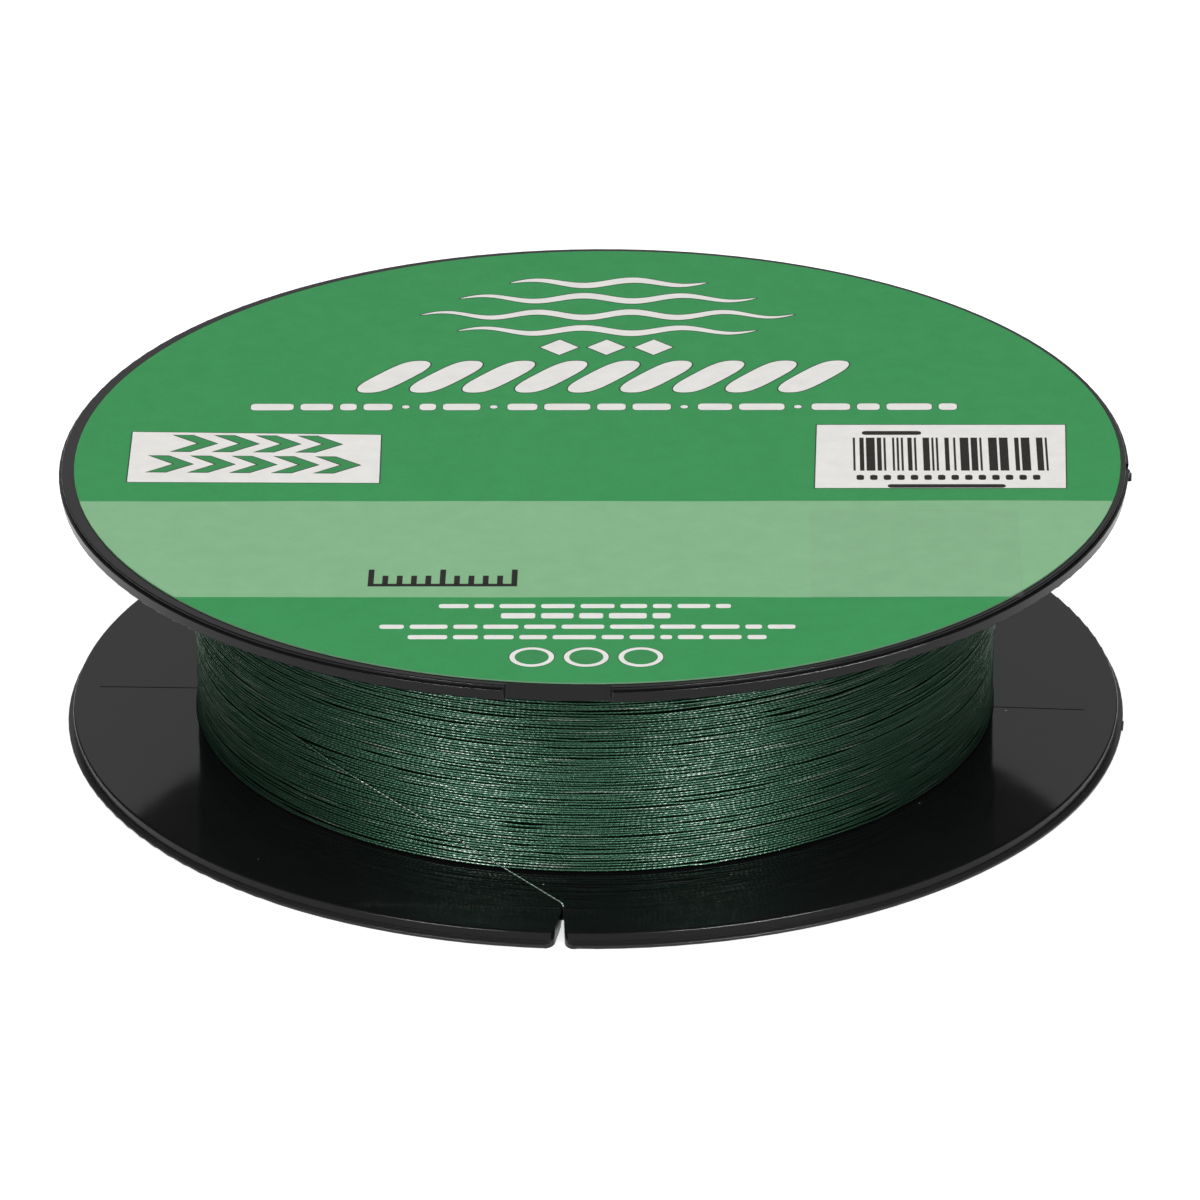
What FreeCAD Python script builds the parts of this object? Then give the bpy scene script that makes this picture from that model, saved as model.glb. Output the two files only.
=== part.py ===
import FreeCAD, Part
import math
import os

# A flat spool of braided fishing line. It stands on its lower flange: the outer face of that
# flange is z = 0, the axis is Z, and the notch that holds the line's end is at the front, -Y.
# Sizes are in millimetres. Angles are in degrees, seen from above, counted from +X towards +Y.

# Outside of the spool. Only the upper rim has a step at its outer face, and its wall leans in
# towards the line.
spool_width = 30.0
flange_diameter = 115.0
flange_thickness = 1.75
rim_step_height = 0.37
rim_step_inset = 0.33
rim_edge_radius = 0.12
rim_wall_lean = 0.22
inner_edge_radius = 0.25

# The lower flange is a little smaller. A low lip runs round its foot, and its wall is set in above it.
lower_flange_inset = 0.15
lip_height = 0.5
lip_ledge = 0.57
lip_foot_radius = 0.3

# Notch and slit in the lower flange, symmetric about a radius
notch_angle = -94.0
notch_depth = 5.05
notch_throat_rounding = 1.0
notch_mouth_width = 1.27
notch_mouth_depth = 0.02
notch_mouth_rounding = 1.6
slit_length = 1.7
slit_clearance = 0.02

# Shallow cut-back of the upper rim
gap_angle = -93.9
gap_span = 11.0
gap_depth = 0.88
gap_corner_radius = 0.4
gap_flare = 0.35

# Broken-off gate on the upper rim: a torn pocket, a thin hook and a stub
gate_angle = -3.3
gate_pocket_width = 2.4
gate_pocket_depth = 0.35
gate_hook_thickness = 0.14
gate_stub_width = 1.9
gate_stub_height = 0.5
gate_stub_reach = 0.3

# Gate and flow marks of the lower flange
lower_gate_angle = -6.2
lower_gate_width = 1.7
lower_gate_reach = 0.12
flow_mark_angles = (-5.5, 177.1)
flow_mark_insets = (4.3, 3.4)
flow_mark_hidden = 2.5
flow_mark_width = 0.18
flow_mark_depth = 0.1

# Drum, centre tube and ribs of the lower half
drum_wall = 1.6
drum_floor_radius = 0.5
bore_diameter = 10.2
bore_edge_radius = 0.3
tube_wall = 1.9
tube_end_gap = 0.1
rib_count = 6
rib_thickness = 1.2
rib_below_boss = 8.5

# Snap joint between the halves: spigot ring, bead, groove and key
fit_clearance = 0.1
spigot_wall = 1.4
spigot_height = 6.0
spigot_slots = 6
bead_height = 0.3
bead_half_width = 0.5
bead_above_end = 2.4
key_width = 3.6
key_height = 8.0
boss_wall = 1.5
boss_height = 8.0
lead_in_radius = 0.3

# Paper label, clear film sticker and arbor tape
label_margin = 0.97
label_thickness = 0.15
label_offset_x = 0.39
label_offset_y = -0.1
sticker_width = 22.05
sticker_depth = 21.8
sticker_thickness = 0.05
sticker_inset = 15.2
sticker_angle = -37.07
sticker_turn = -1.05
sticker_corner_radius = 0.2
tape_thickness = 0.1
tape_width = 12.0
tape_angle = 60.0
tape_span = 24.0

# Line: how far it lies below the rim, its depth on the drum, and the pitch of the turns drawn.
# The last layer winds down to a height, over a shoulder where the layer below it shows. Then it
# bends down over those turns and leaves the pack: angles are counted back from where it leaves,
# drops are counted down from that height, and slopes are rise over run.
line_diameter = 0.28
line_below_rim = 14.0
line_depth = 6.25
layer_clearance = 0.02
core_clearance = 0.05
turn_pitch = 1.0
last_layer_bottom = 12.05
shoulder_rise = 0.45
below_start_angle = 20.0
end_bend_radius = 0.84
steady_until = 45.0
bend_down_before = 20.8
bend_down_drop = 0.15
bend_down_slope = -0.02
dive_before = 11.3
dive_drop = 0.8
dive_slope = -0.2
leave_drop = 2.95
exit_bend_radius = 0.45
exit_lift = 0.11
tail_height = 0.15

# How far a cutting shape runs past what it cuts
past = 1.0

# What follows from the sizes above
flange_radius = flange_diameter / 2
ring_radius = flange_radius - rim_step_inset
lip_radius = flange_radius - lower_flange_inset
wall_radius = lip_radius - lip_ledge
throat_radius = lip_radius - notch_depth
slit_end_radius = throat_radius - slit_length
label_radius = ring_radius - label_margin
pack_radius = flange_radius - line_below_rim
drum_radius = pack_radius - line_depth
drum_inner = drum_radius - drum_wall
bore_radius = bore_diameter / 2
tube_radius = bore_radius + tube_wall
seat_height = spool_width - flange_thickness
spigot_radius = drum_inner - fit_clearance
spigot_inner = spigot_radius - spigot_wall
spigot_bottom = seat_height - spigot_height
bead_level = spigot_bottom + bead_above_end
groove_depth = bead_height + fit_clearance
boss_bottom = seat_height - boss_height
slot_width = key_width + 2 * fit_clearance
line_radius = line_diameter / 2
slit_half = line_radius + slit_clearance
last_radius = pack_radius - line_radius
below_radius = last_radius - line_diameter - layer_clearance
core_radius = last_radius - line_radius - layer_clearance
core_radius_below = below_radius - line_radius - layer_clearance
shoulder_height = last_layer_bottom + shoulder_rise
leave_height = last_layer_bottom - leave_drop
end_lead = line_diameter + end_bend_radius

V = FreeCAD.Vector
ORIGIN = V(0, 0, 0)
UP = V(0, 0, 1)


def save(shape, name):
    """Write one sub-part."""
    shape.exportStep("parts/" + name + ".step")
    print(name, "solids", len(shape.Solids), "valid", shape.isValid(), "volume", round(shape.Volume, 3))


def polar(radius, angle, height=0.0):
    """Point at a radius and an angle about the spool's axis."""
    turn = math.radians(angle)
    return V(radius * math.cos(turn), radius * math.sin(turn), height)


def standing(u, v):
    """Turn a profile's radius and height into a point."""
    return V(u, 0, v)


def flat(u, v):
    """Turn a plan's two coordinates into a point."""
    return V(u, v, 0)


def rounding(before, corner, after, radius):
    """Where the rounding of a corner starts, its middle and where it ends."""
    if radius == 0:
        return corner, None, corner
    back = (before - corner).normalize()
    on = (after - corner).normalize()
    half = back.getAngle(on) / 2
    centre = corner + (back + on).normalize() * (radius / math.sin(half))
    middle = centre + (corner - centre).normalize() * radius
    reach = radius / math.tan(half)
    return corner + back * reach, middle, corner + on * reach


def outline(corners, place, bows=None):
    """Face inside corners given as (u, v, radius). Side n is an arc where bows has its middle point."""
    bows = bows or {}
    points = [place(u, v) for u, v, _ in corners]
    count = len(points)
    rounds = []
    for n in range(count):
        rounds.append(rounding(points[n - 1], points[n], points[(n + 1) % count], corners[n][2]))
    edges = []
    for n in range(count):
        start, middle, end = rounds[n]
        following = rounds[(n + 1) % count][0]
        if middle is not None:
            edges.append(Part.Arc(start, middle, end).toShape())
        if n in bows:
            edges.append(Part.Arc(end, bows[n], following).toShape())
        elif end.distanceToPoint(following) > 1e-6:
            edges.append(Part.LineSegment(end, following).toShape())
    return Part.Face(Part.Wire(edges))


def turned(corners):
    """Solid of revolution of a profile of (radius, height, rounding)."""
    return outline(corners, standing).revolve(ORIGIN, UP, 360)


def ring_piece(inner, outer, low, high, middle, span):
    """Part of a plain ring, centred on an angle."""
    face = outline([(inner, low, 0), (outer, low, 0), (outer, high, 0), (inner, high, 0)], standing)
    face.rotate(ORIGIN, UP, middle - span / 2)
    return face.revolve(ORIGIN, UP, span)


def plate(corners, low, high, angle, bows=None):
    """Plan outline of (radial, sideways, rounding), given a thickness and turned to an angle."""
    solid = outline(corners, flat, bows).extrude(V(0, 0, high - low))
    solid.translate(V(0, 0, low))
    solid.rotate(ORIGIN, UP, angle)
    return solid


def block(near, far, width, low, high, angle):
    """Box between two radii, centred on an angle."""
    half = width / 2
    corners = [(near, -half, 0), (far, -half, 0), (far, half, 0), (near, half, 0)]
    return plate(corners, low, high, angle)


def both_sides(corners):
    """A plan that is symmetric about its radius, from the half on the left."""
    mirrored = [(u, -v, radius) for u, v, radius in reversed(corners)]
    return corners + mirrored


def notch_cutter():
    """V notch with round shoulders at the rim, which narrows to a slit with a round end."""
    mouth = lip_radius - notch_mouth_depth
    shoulder = notch_mouth_width / 2 + notch_mouth_rounding + notch_mouth_depth
    half = [
        (slit_end_radius, slit_half, slit_half),
        (throat_radius, slit_half, notch_throat_rounding),
        (mouth, notch_mouth_width / 2, notch_mouth_rounding),
        (mouth, shoulder, 0),
        (lip_radius + past, shoulder + past, 0),
    ]
    return plate(both_sides(half), -past, flange_thickness + past, notch_angle)


def gap_cutter():
    """Shallow cut-back of the rim, with an arc for its floor and eased ends."""
    floor = flange_radius - gap_depth
    half_angle = gap_span / 2
    inner = polar(floor, half_angle)
    outer = polar(flange_radius - gap_flare, half_angle)
    far = polar(flange_radius + past, half_angle)
    half = [
        (inner.x, inner.y, gap_corner_radius),
        (outer.x, outer.y, gap_corner_radius),
        (far.x, far.y + gap_flare + past, 0),
    ]
    corners = both_sides(half)
    bow = {len(corners) - 1: V(floor, 0, 0)}
    return plate(corners, seat_height - past, spool_width + past, gap_angle, bow)


def lower_half():
    """Lower flange, drum, centre tube and ribs in one moulding."""
    groove_top = bead_level + bead_half_width + fit_clearance
    groove_bottom = bead_level - bead_half_width - fit_clearance
    groove_radius = drum_inner + groove_depth
    body = turned([
        (bore_radius, 0, bore_edge_radius),
        (lip_radius, 0, lip_foot_radius),
        (lip_radius, lip_height, rim_edge_radius),
        (wall_radius, lip_height, 0),
        (wall_radius, flange_thickness, inner_edge_radius),
        (drum_radius, flange_thickness, 0),
        (drum_radius, seat_height, 0),
        (drum_inner, seat_height, lead_in_radius),
        (drum_inner, groove_top, 0),
        (groove_radius, groove_top, 0),
        (groove_radius, groove_bottom, 0),
        (drum_inner, groove_bottom, 0),
        (drum_inner, flange_thickness, drum_floor_radius),
        (tube_radius, flange_thickness, drum_floor_radius),
        (tube_radius, seat_height - tube_end_gap, 0),
        (bore_radius, seat_height - tube_end_gap, 0),
    ])
    added = []
    rib_near = tube_radius - tube_wall / 2
    rib_far = drum_inner + drum_wall / 2
    floor = flange_thickness / 2
    for n in range(rib_count):
        angle = notch_angle + (n + 0.5) * 360 / rib_count
        added.append(block(rib_near, rib_far, rib_thickness, floor, boss_bottom - rib_below_boss, angle))
    key_top = seat_height - fit_clearance
    added.append(block(spigot_inner, rib_far, key_width, key_top - key_height, key_top, notch_angle))
    stub_reach = lip_radius + lower_gate_reach
    stub_low = lip_foot_radius / 2
    added.append(block(wall_radius - past, stub_reach, lower_gate_width, stub_low, lip_height, lower_gate_angle))
    body = body.fuse(added)
    cuts = [notch_cutter()]
    start = pack_radius - flow_mark_hidden
    bottom = flange_thickness - flow_mark_depth
    for angle, inset in zip(flow_mark_angles, flow_mark_insets):
        end = flange_radius - inset
        cuts.append(block(start, end, flow_mark_width, bottom, flange_thickness + past, angle))
    return body.cut(cuts).removeSplitter()


def upper_half():
    """Upper flange with the spigot ring, its bead and slots, and the boss round the centre tube."""
    boss_inner = tube_radius + fit_clearance
    boss_radius = boss_inner + boss_wall
    body = turned([
        (bore_radius, spool_width, 0),
        (ring_radius, spool_width, rim_edge_radius),
        (ring_radius, spool_width - rim_step_height, 0),
        (flange_radius, spool_width - rim_step_height, rim_edge_radius),
        (flange_radius - rim_wall_lean, seat_height, inner_edge_radius),
        (spigot_radius, seat_height, 0),
        (spigot_radius, bead_level + bead_half_width, 0),
        (spigot_radius + bead_height, bead_level, 0),
        (spigot_radius, bead_level - bead_half_width, 0),
        (spigot_radius, spigot_bottom, lead_in_radius),
        (spigot_inner, spigot_bottom, lead_in_radius),
        (spigot_inner, seat_height, 0),
        (boss_radius, seat_height, 0),
        (boss_radius, boss_bottom, lead_in_radius),
        (boss_inner, boss_bottom, lead_in_radius),
        (boss_inner, seat_height, 0),
        (bore_radius, seat_height, 0),
    ])
    cuts = [gap_cutter()]
    near = spigot_inner - past
    far = spigot_radius + bead_height + past
    for n in range(spigot_slots):
        angle = notch_angle + n * 360 / spigot_slots
        cuts.append(block(near, far, slot_width, spigot_bottom - past, seat_height, angle))
    rim_top = spool_width - rim_step_height
    stub_top = seat_height + gate_stub_height
    floor = flange_radius - gate_pocket_depth
    pocket = block(floor, flange_radius + past, gate_pocket_width, stub_top, rim_top + past, gate_angle)
    cuts.append(pocket)
    body = body.cut(cuts)
    stub_reach = flange_radius + gate_stub_reach
    half = gate_stub_width / 2
    stub_plan = both_sides([(ring_radius - past, half, 0), (stub_reach, half, gate_stub_reach)])
    stub = plate(stub_plan, seat_height + inner_edge_radius, stub_top, gate_angle)
    hook_level = (stub_top + rim_top) / 2
    hook_plan = [
        (ring_radius - past, -half, 0),
        (flange_radius, -half, 0),
        (flange_radius + gate_stub_reach / 2, 0, 0),
        (flange_radius, half / 2, 0),
        (ring_radius - past, half, 0),
    ]
    hook = plate(hook_plan, hook_level, hook_level + gate_hook_thickness, gate_angle)
    return body.fuse([stub, hook]).removeSplitter()


def paper_label():
    """Printed disc on the outer face of the upper flange, a little off centre."""
    corner = V(label_offset_x, label_offset_y, spool_width)
    return Part.makeCylinder(label_radius, label_thickness, corner, UP)


def clear_sticker():
    """Film sticker on the label. Its front right corner stands out over the rim."""
    half = sticker_width / 2
    deep = sticker_depth / 2
    corners = [
        (-half, -deep, sticker_corner_radius),
        (half, -deep, sticker_corner_radius),
        (half, deep, sticker_corner_radius),
        (-half, deep, sticker_corner_radius),
    ]
    low = spool_width + label_thickness
    sheet = plate(corners, low, low + sticker_thickness, sticker_turn)
    sheet.translate(polar(flange_radius - sticker_inset, sticker_angle))
    return sheet


def tape_piece(grown):
    """Patch of tape on the drum, made larger all round for the hollow that it leaves in the line."""
    middle = (seat_height + flange_thickness) / 2
    half = tape_width / 2 + grown
    span = tape_span + 2 * math.degrees(grown / drum_radius)
    outer = drum_radius + tape_thickness + grown
    return ring_piece(drum_radius, outer, middle - half, middle + half, tape_angle, span)


def wound_core():
    """Inner layers of line as one plain ring, stepped down where the layer below the last is drawn."""
    inner = drum_radius + core_clearance
    ring = turned([
        (inner, flange_thickness, 0),
        (core_radius_below, flange_thickness, 0),
        (core_radius_below, shoulder_height, 0),
        (core_radius, shoulder_height, 0),
        (core_radius, seat_height, 0),
        (inner, seat_height, 0),
    ])
    return ring.cut(tape_piece(core_clearance))


def knot(radius, angle, height, slope):
    """Point on a layer of line and the line's direction there. Slope is rise over run."""
    turn = math.radians(angle)
    return polar(radius, angle, height), V(-math.sin(turn), math.cos(turn), slope).normalize()


def arc_from(start, heading, end):
    """Arc that leaves a point in a direction and reaches another point."""
    chord = end - start
    side = (chord - heading * chord.dot(heading)).normalize()
    radius = chord.dot(chord) / (2 * chord.dot(side))
    centre = start + side * radius
    middle = centre + ((start + end) * 0.5 - centre).normalize() * radius
    return Part.Arc(start, middle, end).toShape()


def joined(first, second):
    """Two arcs between two knots that keep both directions, or a straight run where they line up."""
    start, leave = first
    end, arrive = second
    chord = end - start
    if chord.getAngle(leave) < 1e-6 and chord.getAngle(arrive) < 1e-6:
        return [Part.LineSegment(start, end).toShape()]
    both = leave + arrive
    spread = 2 * (1 - leave.dot(arrive))
    along = chord.dot(both)
    if spread < 1e-9:
        reach = chord.dot(chord) / (2 * along)
    else:
        reach = (math.sqrt(along * along + spread * chord.dot(chord)) - along) / spread
    meet = (start + end + (leave - arrive) * reach) * 0.5
    heading = ((end - arrive * reach) - (start + leave * reach)).normalize()
    return [arc_from(start, leave, meet), arc_from(meet, heading, end)]


def tube(name, knots):
    """One unbroken round tube along knots, with its length, tightest bend and volume printed."""
    edges = []
    for n in range(len(knots) - 1):
        edges += joined(knots[n], knots[n + 1])
    path = Part.Wire(edges)
    section = Part.Wire(Part.makeCircle(line_radius, knots[0][0], knots[0][1]))
    solid = path.makePipeShell([section], True, False)
    if not solid.Solids:
        solid = Part.Solid(Part.Shell(solid.Faces))
    radii = [edge.Curve.Radius for edge in edges if hasattr(edge.Curve, "Radius")]
    expected = math.pi * line_radius ** 2 * path.Length
    print(name, "length", round(path.Length, 2), "tightest bend radius", round(min(radii), 3),
          "volume over section times length", round(solid.Volume / expected, 5))
    return solid, edges


def print_gap(name, edges, apart):
    """Least gap of a winding to itself, on points that lie further along it than a given length."""
    points = []
    travelled = 0.0
    for edge in edges:
        for point in edge.discretize(9)[:-1]:
            points.append((travelled + point.distanceToPoint(edge.firstVertex().Point), point))
        travelled += edge.Length
    least = min(
        one.distanceToPoint(other)
        for n, (place, one) in enumerate(points)
        for later, other in points[n + 1:]
        if later - place > apart
    )
    print(name, "least gap to itself", round(least - line_diameter, 3))


def half_turns(low, high):
    """How many half turns fill a height at about the drawn pitch."""
    return round(2 * (high - low) / turn_pitch)


def helix_knots(radius, start_angle, start_height, end_height, halves):
    """Knots a half turn apart on a steady helix. The first lies one end bend past its start."""
    step = (end_height - start_height) / halves
    slope = step / (math.pi * radius)
    knots = [knot(radius, start_angle + math.degrees(end_bend_radius / radius), start_height, slope)]
    for n in range(1, halves + 1):
        knots.append(knot(radius, start_angle + 180 * n, start_height + step * n, slope))
    return knots


def leaving():
    """Angle where the line leaves the pack, its slope there and the length of its straight run."""
    slit_centre = slit_end_radius + slit_half
    run = math.sqrt(slit_centre ** 2 - last_radius ** 2)
    angle = notch_angle - math.degrees(math.acos(last_radius / slit_centre))
    slope = (flange_thickness + line_radius + exit_lift - leave_height) / run
    return angle, slope, run


def last_layer():
    """Outer layer of line, from the upper flange down and across the turns below to where it leaves."""
    leave_angle, leave_slope, _ = leaving()
    top = seat_height - end_lead
    halves = half_turns(last_layer_bottom, top)
    start_angle = leave_angle - steady_until - 180 * halves
    start = polar(last_radius, start_angle, seat_height)
    bend_height = last_layer_bottom - bend_down_drop
    dive_height = last_layer_bottom - dive_drop
    knots = [(start, -UP), (start - UP * line_diameter, -UP)]
    knots += helix_knots(last_radius, start_angle, top, last_layer_bottom, halves)
    knots += [
        knot(last_radius, leave_angle - bend_down_before, bend_height, bend_down_slope),
        knot(last_radius, leave_angle - dive_before, dive_height, dive_slope),
        knot(last_radius, leave_angle, leave_height, leave_slope),
    ]
    solid, edges = tube("last_layer", knots)
    print_gap("last_layer", edges, last_radius)
    return solid


def layer_below():
    """Lower stretch of the layer under the last one, from the lower flange up to the shoulder."""
    bottom = flange_thickness + end_lead
    top = shoulder_height - end_lead
    halves = half_turns(bottom, top)
    bend = math.degrees(end_bend_radius / below_radius)
    start = polar(below_radius, below_start_angle, flange_thickness)
    end = polar(below_radius, below_start_angle + 180 * halves + bend, shoulder_height)
    knots = [(start, UP), (start + UP * line_diameter, UP)]
    knots += helix_knots(below_radius, below_start_angle, bottom, top, halves)
    knots += [(end - UP * line_diameter, UP), (end, UP)]
    solid, edges = tube("layer_below", knots)
    print_gap("layer_below", edges, below_radius)
    return solid


def line_end():
    """Free end of the line: straight from the pack to the slit, over its edge and down through it."""
    leave_angle, leave_slope, run = leaving()
    start, heading = knot(last_radius, leave_angle, leave_height, leave_slope)
    corner = start + heading * (run * math.sqrt(1 + leave_slope ** 2))
    reach = exit_bend_radius * math.tan(heading.getAngle(-UP) / 2)
    tail = V(corner.x, corner.y, tail_height)
    knots = [(start, heading), (corner - heading * reach, heading), (corner - UP * reach, -UP), (tail, -UP)]
    solid, _ = tube("line_end", knots)
    return solid


os.makedirs("parts", exist_ok=True)
save(lower_half(), "lower_half")
save(upper_half(), "upper_half")
save(paper_label(), "paper_label")
save(clear_sticker(), "clear_sticker")
save(tape_piece(0), "arbor_tape")
save(wound_core(), "wound_core")
save(layer_below(), "layer_below")
save(last_layer(), "last_layer")
save(line_end(), "line_end")
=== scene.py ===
"""Looks of a spool of thin braided fishing line. Lengths are named in millimetres and used in metres."""

import math

import bpy
import numpy as np
from mathutils import Matrix, Vector


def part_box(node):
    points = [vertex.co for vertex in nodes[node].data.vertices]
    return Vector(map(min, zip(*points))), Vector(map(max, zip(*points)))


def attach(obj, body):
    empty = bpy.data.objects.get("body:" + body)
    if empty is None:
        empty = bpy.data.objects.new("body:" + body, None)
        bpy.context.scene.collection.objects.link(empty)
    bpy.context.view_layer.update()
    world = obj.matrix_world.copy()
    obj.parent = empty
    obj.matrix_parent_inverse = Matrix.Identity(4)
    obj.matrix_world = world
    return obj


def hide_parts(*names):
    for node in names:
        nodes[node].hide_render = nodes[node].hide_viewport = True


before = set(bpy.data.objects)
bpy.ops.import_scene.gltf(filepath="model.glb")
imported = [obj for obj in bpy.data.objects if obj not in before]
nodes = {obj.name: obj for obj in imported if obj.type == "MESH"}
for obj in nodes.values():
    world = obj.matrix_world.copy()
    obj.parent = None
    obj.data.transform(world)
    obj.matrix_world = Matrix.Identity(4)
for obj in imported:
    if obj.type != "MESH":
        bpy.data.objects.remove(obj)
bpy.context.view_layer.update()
mm = 0.001

# The spool, as the solids give it
spool_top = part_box("upper_half")[1].z
label_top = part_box("paper_label")[1].z
core_low, core_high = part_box("wound_core")
flange_face = core_low.z
ceiling_face = core_high.z
flange_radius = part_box("lower_half")[1].x

# Round edges of the rims: radius and height of each rounding's middle, and its own radius
rim_edges = (
    (56.53 * mm, 1.5 * mm, 0.25 * mm),
    (57.23 * mm, 0.38 * mm, 0.12 * mm),
    (57.05 * mm, 29.88 * mm, 0.12 * mm),
    (57.38 * mm, 29.51 * mm, 0.12 * mm),
)
facet_sag = 0.008 * mm

# The lower rim's foot, painted a little paler than the rest of the moulding: a painted reflection of the
# floor
painted_reflection_radius = 56.6 * mm
painted_reflection_height = 0.5 * mm
painted_reflection_fade_height = 0.8 * mm

# The line and its route, as the solids have them
line_diameter = 0.28 * mm
line_radius = line_diameter / 2
free_radius = 0.1 * mm
last_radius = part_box("last_layer")[1].x - line_radius
below_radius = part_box("layer_below")[1].x - line_radius
last_layer_bottom = 12.05 * mm
leave_height = 9.1 * mm
notch_angle = math.radians(-94.0)
slit_centre_radius = 50.76 * mm
exit_gap = 0.11 * mm
exit_height = flange_face + line_radius + exit_gap
exit_bend_radius = 0.45 * mm
tail_height = 0.15 * mm
drum_radius = 37 * mm

# The turns and the braid, as measured in the photograph
turn_pitch = 0.282 * mm
steps_per_turn = 264
wound_sides = 6
last_layer_seed = 11
layer_below_seed = 41
pick_length = 0.565 * mm
strand_relief = 0.025 * mm

# The braid is drawn out a little here and there, so the picks of neighbouring turns don't line up
slack_spacing = 80 * mm
most_slack = 1.2 * mm

# Length of a pick in the fibres' noise, where the line's radius is 1
fibre_run = 0.84

# The lowest turns bulge out over the lower flange
foot_bulge = 0.36 * mm
foot_bulge_reach = 0.3 * mm

# The print on the label: x to the right, y away, in the label's own plane
print_turn = math.radians(1.05)
band_top = -11.73 * mm
band_bottom = -35.72 * mm
ink_step = 0.008 * mm
ink_sunk = 0.004 * mm
print_seed = 5

# Camera, fitted to the flange's edges in the photograph
focal_length = 277.634
camera_distance = 995.2 * mm
camera_elevation = math.radians(24.3213)
camera_yaw = math.radians(0.0357)
camera_pitch_down = math.radians(0.8942)
camera_roll = math.radians(-0.4547)

# Light that isn't a lamp's: the floor as the camera and as mirrors see it, and the room
floor_glow = 0.66
mirrored_glow = 0.42
room_level = 0.06


def linear(red, green, blue):
    """Colour with alpha, from display values out of 255."""
    parts = []
    for value in (red, green, blue):
        share = value / 255
        parts.append(share / 12.92 if share <= 0.04045 else ((share + 0.055) / 1.055) ** 2.4)
    return (*parts, 1.0)


class Look:
    """A node material with one Principled shader, and short ways to add nodes to it."""

    def __init__(self, name, **sockets):
        self.material = bpy.data.materials.new(name)
        self.material.use_nodes = True
        self.tree = self.material.node_tree
        self.tree.nodes.clear()
        self.shader = self.add("BsdfPrincipled")
        output = self.add("OutputMaterial")
        self.tree.links.new(self.shader.outputs[0], output.inputs["Surface"])
        self.set(**sockets)

    def set(self, **sockets):
        """Sets or links the shader's sockets. Words of a socket's name are joined by _."""
        for name, value in sockets.items():
            self.put(self.shader.inputs[name.replace("_", " ")], value)

    def put(self, socket, value):
        """Links another node's output to a socket, or sets the socket's own value."""
        if isinstance(value, bpy.types.NodeSocket):
            self.tree.links.new(value, socket)
        else:
            socket.default_value = value

    def add(self, kind, *values, **settings):
        """Adds a node with its settings, and puts values into its first sockets."""
        node = self.tree.nodes.new("ShaderNode" + kind)
        for name, value in settings.items():
            setattr(node, name, value)
        for socket, value in zip(node.inputs, values):
            self.put(socket, value)
        return node

    def math(self, operation, *values):
        return self.add("Math", *values, operation=operation).outputs[0]

    def places(self):
        """The surface's place on the spool, in metres."""
        return self.add("TexCoord").outputs["Object"]

    def split(self, vector):
        return self.add("SeparateXYZ", vector).outputs

    def noise(self, vector, size, detail=2.0, roughness=0.5):
        """Noise from 0 to 1 whose features are about as large as size."""
        node = self.add("TexNoise")
        self.put(node.inputs["Vector"], vector)
        self.put(node.inputs["Scale"], 1 / size)
        self.put(node.inputs["Detail"], detail)
        self.put(node.inputs["Roughness"], roughness)
        return node.outputs["Fac"]

    def ramp(self, value, low, high, out_low=0.0, out_high=1.0):
        """A value's place between low and high, held at both ends, as one between the out values."""
        return self.add("MapRange", value, low, high, out_low, out_high).outputs[0]

    def mix(self, factor, first, second, kind="RGBA"):
        node = self.add("Mix", data_type=kind)
        self.put(node.inputs["Factor"], factor)
        self.put(node.inputs["A"], first)
        self.put(node.inputs["B"], second)
        return node.outputs["Result"]

    def bump(self, height, distance, strength=1.0, normal=None):
        node = self.add("Bump")
        self.put(node.inputs["Strength"], strength)
        self.put(node.inputs["Distance"], distance)
        self.put(node.inputs["Height"], height)
        if normal is not None:
            self.put(node.inputs["Normal"], normal)
        return node.outputs["Normal"]


def black_plastic():
    """Black moulding: near mirror inner faces, satin outer faces and rims, a little dust, and a lower rim
    foot painted paler as a painted reflection of the floor.
    """
    look = Look("black_plastic", Specular_IOR_Level=0.18)
    place = look.places()
    x, y, z = look.split(place)
    radius = look.math("SQRT", look.math("ADD", look.math("MULTIPLY", x, x), look.math("MULTIPLY", y, y)))
    inside_low = look.math("GREATER_THAN", z, flange_face - 0.1 * mm)
    inside_high = look.math("LESS_THAN", z, ceiling_face + 0.1 * mm)
    off_rim = look.math("LESS_THAN", radius, flange_radius - 0.35 * mm)
    polished = look.math("MULTIPLY", look.math("MULTIPLY", inside_low, inside_high), off_rim)
    grain = look.noise(place, 0.25 * mm, 3.0, 0.6)
    waves = look.noise(place, 4.0 * mm, 2.0)
    satin = look.ramp(grain, 0.2, 0.8, 0.16, 0.25)
    mirror = look.ramp(waves, 0.3, 0.7, 0.07, 0.1)
    rough = look.mix(polished, satin, mirror, "FLOAT")
    tone = look.mix(waves, (0.0055, 0.0055, 0.0062, 1), (0.0085, 0.0083, 0.009, 1))
    # Painted reflection: the lower rim's foot gets a paler colour in place of the floor's reflection
    foot = look.math("GREATER_THAN", radius, painted_reflection_radius)
    foot = look.math("MULTIPLY", foot, look.ramp(z, painted_reflection_fade_height, painted_reflection_height))
    tone = look.mix(foot, tone, (0.026, 0.026, 0.027, 1))
    tone = look.mix(dust(look, place), tone, (0.55, 0.55, 0.52, 1))
    look.set(Base_Color=tone, Roughness=rough)
    fine = look.bump(grain, 0.003 * mm, 0.35, rim_normal(look, x, y, z, radius))
    look.set(Normal=look.bump(waves, 0.02 * mm, 0.25, fine))
    return look.material


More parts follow.
